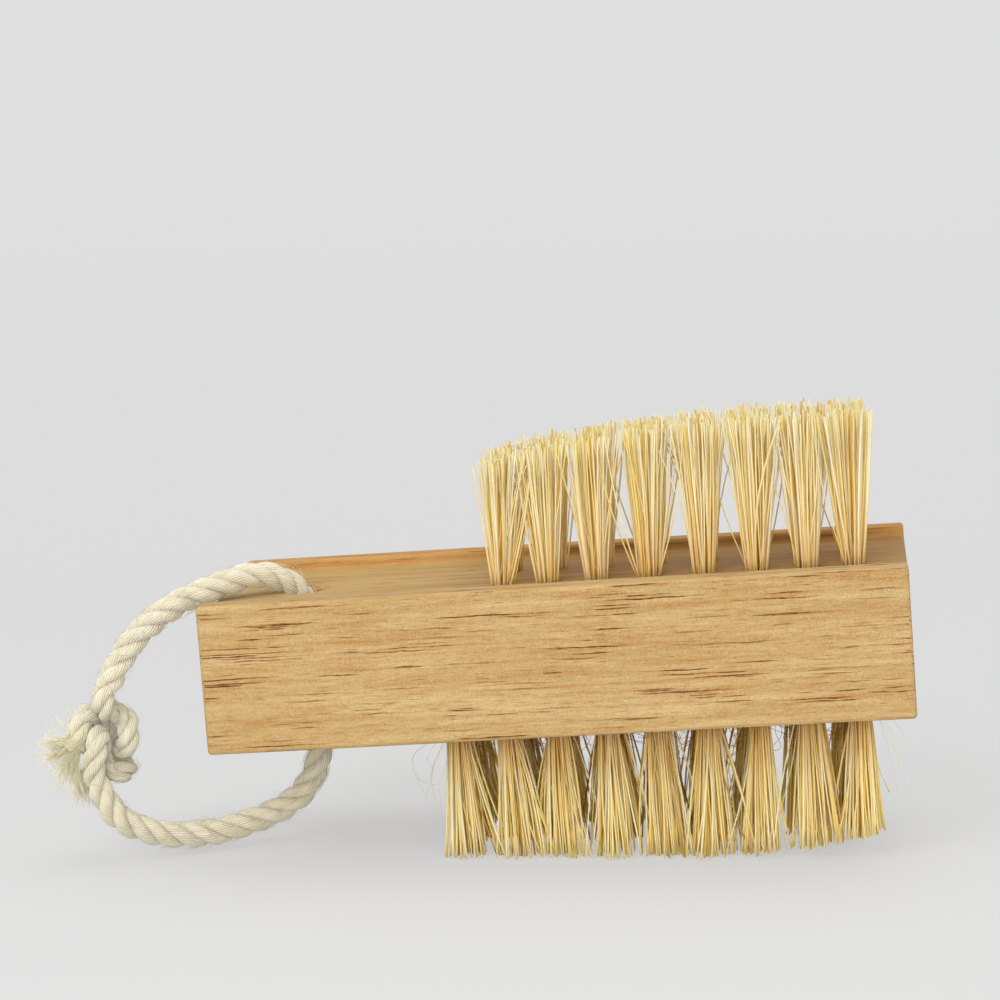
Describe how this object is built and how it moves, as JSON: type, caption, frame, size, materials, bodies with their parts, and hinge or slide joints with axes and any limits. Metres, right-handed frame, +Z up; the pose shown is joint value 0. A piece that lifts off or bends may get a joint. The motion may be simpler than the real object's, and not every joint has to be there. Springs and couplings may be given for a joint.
{
  "type": "pedicure brush",
  "caption": "Double-sided wooden pedicure brush: rectangular block with plant-fibre tufts above and below and a knotted cotton rope loop.",
  "frame": {"origin": "on the floor under the middle of the block's and tufts' extent; the brush stands on the tips of its lower tufts", "axes": "+Z up, +X along the block towards its bristle end, -Y towards the front side; the block leans 2.8 degrees about Y with its +X end higher"},
  "size_m": [0.1263, 0.042, 0.0639],
  "materials": {
    "wood": "lightly oiled pale hardwood, straight grain with short dark pores",
    "upper_fibre": "pale straw-coloured plant fibre",
    "lower_fibre": "pale straw-coloured plant fibre",
    "cotton_cord": "natural off-white twisted cotton"
  },
  "bodies": {
    "brush": {"block": "wood", "upper_tuft_front_1": "upper_fibre", "upper_tuft_front_2": "upper_fibre", "upper_tuft_front_3": "upper_fibre", "upper_tuft_front_4": "upper_fibre", "upper_tuft_front_5": "upper_fibre", "upper_tuft_front_6": "upper_fibre", "upper_tuft_front_7": "upper_fibre", "upper_tuft_front_8": "upper_fibre", "upper_tuft_back_1": "upper_fibre", "upper_tuft_back_2": "upper_fibre", "upper_tuft_back_3": "upper_fibre", "upper_tuft_back_4": "upper_fibre", "upper_tuft_back_5": "upper_fibre", "upper_tuft_back_6": "upper_fibre", "upper_tuft_back_7": "upper_fibre", "upper_tuft_back_8": "upper_fibre", "lower_tuft_front_1": "lower_fibre", "lower_tuft_front_2": "lower_fibre", "lower_tuft_front_3": "lower_fibre", "lower_tuft_front_4": "lower_fibre", "lower_tuft_front_5": "lower_fibre", "lower_tuft_front_6": "lower_fibre", "lower_tuft_front_7": "lower_fibre", "lower_tuft_front_8": "lower_fibre", "lower_tuft_front_9": "lower_fibre", "lower_tuft_middle_1": "lower_fibre", "lower_tuft_middle_2": "lower_fibre", "lower_tuft_middle_3": "lower_fibre", "lower_tuft_middle_4": "lower_fibre", "lower_tuft_middle_5": "lower_fibre", "lower_tuft_middle_6": "lower_fibre", "lower_tuft_middle_7": "lower_fibre", "lower_tuft_middle_8": "lower_fibre", "lower_tuft_middle_9": "lower_fibre", "lower_tuft_back_1": "lower_fibre", "lower_tuft_back_2": "lower_fibre", "lower_tuft_back_3": "lower_fibre", "lower_tuft_back_4": "lower_fibre", "lower_tuft_back_5": "lower_fibre", "lower_tuft_back_6": "lower_fibre", "lower_tuft_back_7": "lower_fibre", "lower_tuft_back_8": "lower_fibre", "lower_tuft_back_9": "lower_fibre"},
    "rope": {"rope_upper_leg": "cotton_cord", "rope_lower_leg": "cotton_cord", "rope_knot_upper": "cotton_cord", "rope_knot_lower": "cotton_cord", "rope_end_upper": "cotton_cord", "rope_end_lower": "cotton_cord"}
  },
  "joints": [
    {"name": "rope_swing", "type": "hinge", "parent": "brush", "child": "rope", "pos_m": [-0.03801, 0, 0.02768], "axis": [-0.0489, 0, 0.9988], "range_deg": [-56, 4]}
  ]
}
